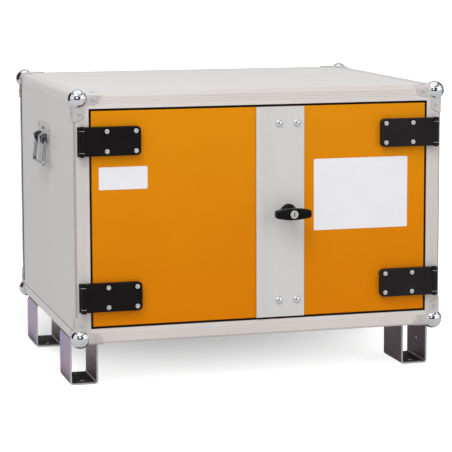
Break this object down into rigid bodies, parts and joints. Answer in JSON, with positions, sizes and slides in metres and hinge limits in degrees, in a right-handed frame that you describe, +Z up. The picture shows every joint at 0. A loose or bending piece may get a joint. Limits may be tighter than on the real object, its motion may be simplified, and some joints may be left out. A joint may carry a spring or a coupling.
{
  "type": "battery cabinet",
  "caption": "Low two-door cabinet for storing batteries, on U-shaped feet, with ball corners, strap hinges, a turning rod lock and side lifting handles.",
  "frame": {"origin": "on the floor, at the centre of the pattern of floor bolt holes in the four feet, below the centre of the cabinet body", "axes": "+Z up; +X to the right as seen by someone facing the doors; the doors face -Y"},
  "size_m": [0.838, 0.7163, 0.6295],
  "materials": {
    "frame_aluminium": "satin anodised",
    "chrome": "polished chrome plating",
    "light_steel": "plain light steel",
    "grey_sheet": "light grey powder coat",
    "insulating_board": "pale mineral insulating board",
    "orange_sheet": "orange powder coat, fine texture",
    "black_metal": "black coat, satin",
    "black_plastic": "black moulded plastic",
    "seal_rubber": "black sealing strip",
    "zinc_plate": "zinc plated, faint rainbow tint",
    "gear_brass": "machined"
  },
  "bodies": {
    "cabinet": {"ball_corners": "chrome", "core_back": "insulating_board", "core_bottom": "insulating_board", "core_left": "insulating_board", "core_right": "insulating_board", "core_top": "insulating_board", "foot_bolts": "zinc_plate", "foot_front_left": "zinc_plate", "foot_front_right": "zinc_plate", "foot_rear_left": "zinc_plate", "foot_rear_right": "zinc_plate", "frame_rivets": "light_steel", "hinge_frame_leaves": "black_metal", "hinge_pins": "black_metal", "lift_plate_left": "chrome", "lift_plate_right": "chrome", "opening_seal": "seal_rubber", "post_front_left": "frame_aluminium", "post_front_right": "frame_aluminium", "post_rear_left": "frame_aluminium", "post_rear_right": "frame_aluminium", "rail_bottom_front": "frame_aluminium", "rail_bottom_left": "frame_aluminium", "rail_bottom_rear": "frame_aluminium", "rail_bottom_right": "frame_aluminium", "rail_top_front": "frame_aluminium", "rail_top_left": "frame_aluminium", "rail_top_rear": "frame_aluminium", "rail_top_right": "frame_aluminium", "rod_keeps": "zinc_plate", "shelf": "grey_sheet", "shelf_rails": "grey_sheet", "skin_back": "grey_sheet", "skin_bottom": "grey_sheet", "skin_left": "grey_sheet", "skin_right": "grey_sheet", "skin_top": "grey_sheet"},
    "left_door": {"door_skin_left": "orange_sheet", "door_core_left": "insulating_board", "hinge_leaves_left": "black_metal", "hinge_rivets_left": "light_steel"},
    "right_door": {"door_skin_right": "orange_sheet", "door_core_right": "insulating_board", "hinge_leaves_right": "black_metal", "hinge_rivets_right": "light_steel", "meeting_strip": "grey_sheet", "strip_seal": "seal_rubber", "strip_bolts": "chrome", "handle_rosette": "black_plastic", "lock_case": "zinc_plate", "rod_guides": "zinc_plate", "lock_rivets": "light_steel"},
    "handle": {"turning_handle": "black_plastic", "handle_spindle": "zinc_plate", "lock_gear": "gear_brass"},
    "key_plug": {"lock_plug": "light_steel"},
    "upper_lock_rod": {"upper_rod": "zinc_plate"},
    "lower_lock_rod": {"lower_rod": "zinc_plate"},
    "left_lift_bar": {"lift_bar_left": "chrome"},
    "right_lift_bar": {"lift_bar_right": "chrome"}
  },
  "joints": [
    {"name": "right_door_hinge", "type": "hinge", "parent": "cabinet", "child": "right_door", "pos_m": [0.3845, -0.3415, 0.36], "axis": [0, 0, 1], "range_deg": [0, 180]},
    {"name": "left_door_hinge", "type": "hinge", "parent": "cabinet", "child": "left_door", "pos_m": [-0.3845, -0.3415, 0.36], "axis": [0, 0, -1], "range_deg": [0, 180]},
    {"name": "handle_turn", "type": "hinge", "parent": "right_door", "child": "handle", "pos_m": [0.057, -0.34, 0.36], "axis": [0, -1, 0], "range_deg": [0, 90]},
    {"name": "key_turn", "type": "hinge", "parent": "handle", "child": "key_plug", "pos_m": [0.057, -0.365, 0.36], "axis": [0, -1, 0], "range_deg": [0, 90]},
    {"name": "upper_rod_slide", "type": "slide", "parent": "right_door", "child": "upper_lock_rod", "axis": [0, 0, 1], "range_m": [0, 0.01415]},
    {"name": "lower_rod_slide", "type": "slide", "parent": "right_door", "child": "lower_lock_rod", "axis": [0, 0, -1], "range_m": [0, 0.01415]},
    {"name": "left_lift_swing", "type": "hinge", "parent": "cabinet", "child": "left_lift_bar", "pos_m": [-0.4075, 0, 0.5], "axis": [0, 1, 0], "range_deg": [0, 85]},
    {"name": "right_lift_swing", "type": "hinge", "parent": "cabinet", "child": "right_lift_bar", "pos_m": [0.4075, 0, 0.5], "axis": [0, -1, 0], "range_deg": [0, 85]}
  ],
  "couplings": [
    {"joint": "left_door_hinge", "follows": "right_door_hinge", "ratio": 1},
    {"joint": "upper_rod_slide", "follows": "handle_turn", "m_per_rad": 0.009},
    {"joint": "lower_rod_slide", "follows": "handle_turn", "m_per_rad": 0.009}
  ]
}
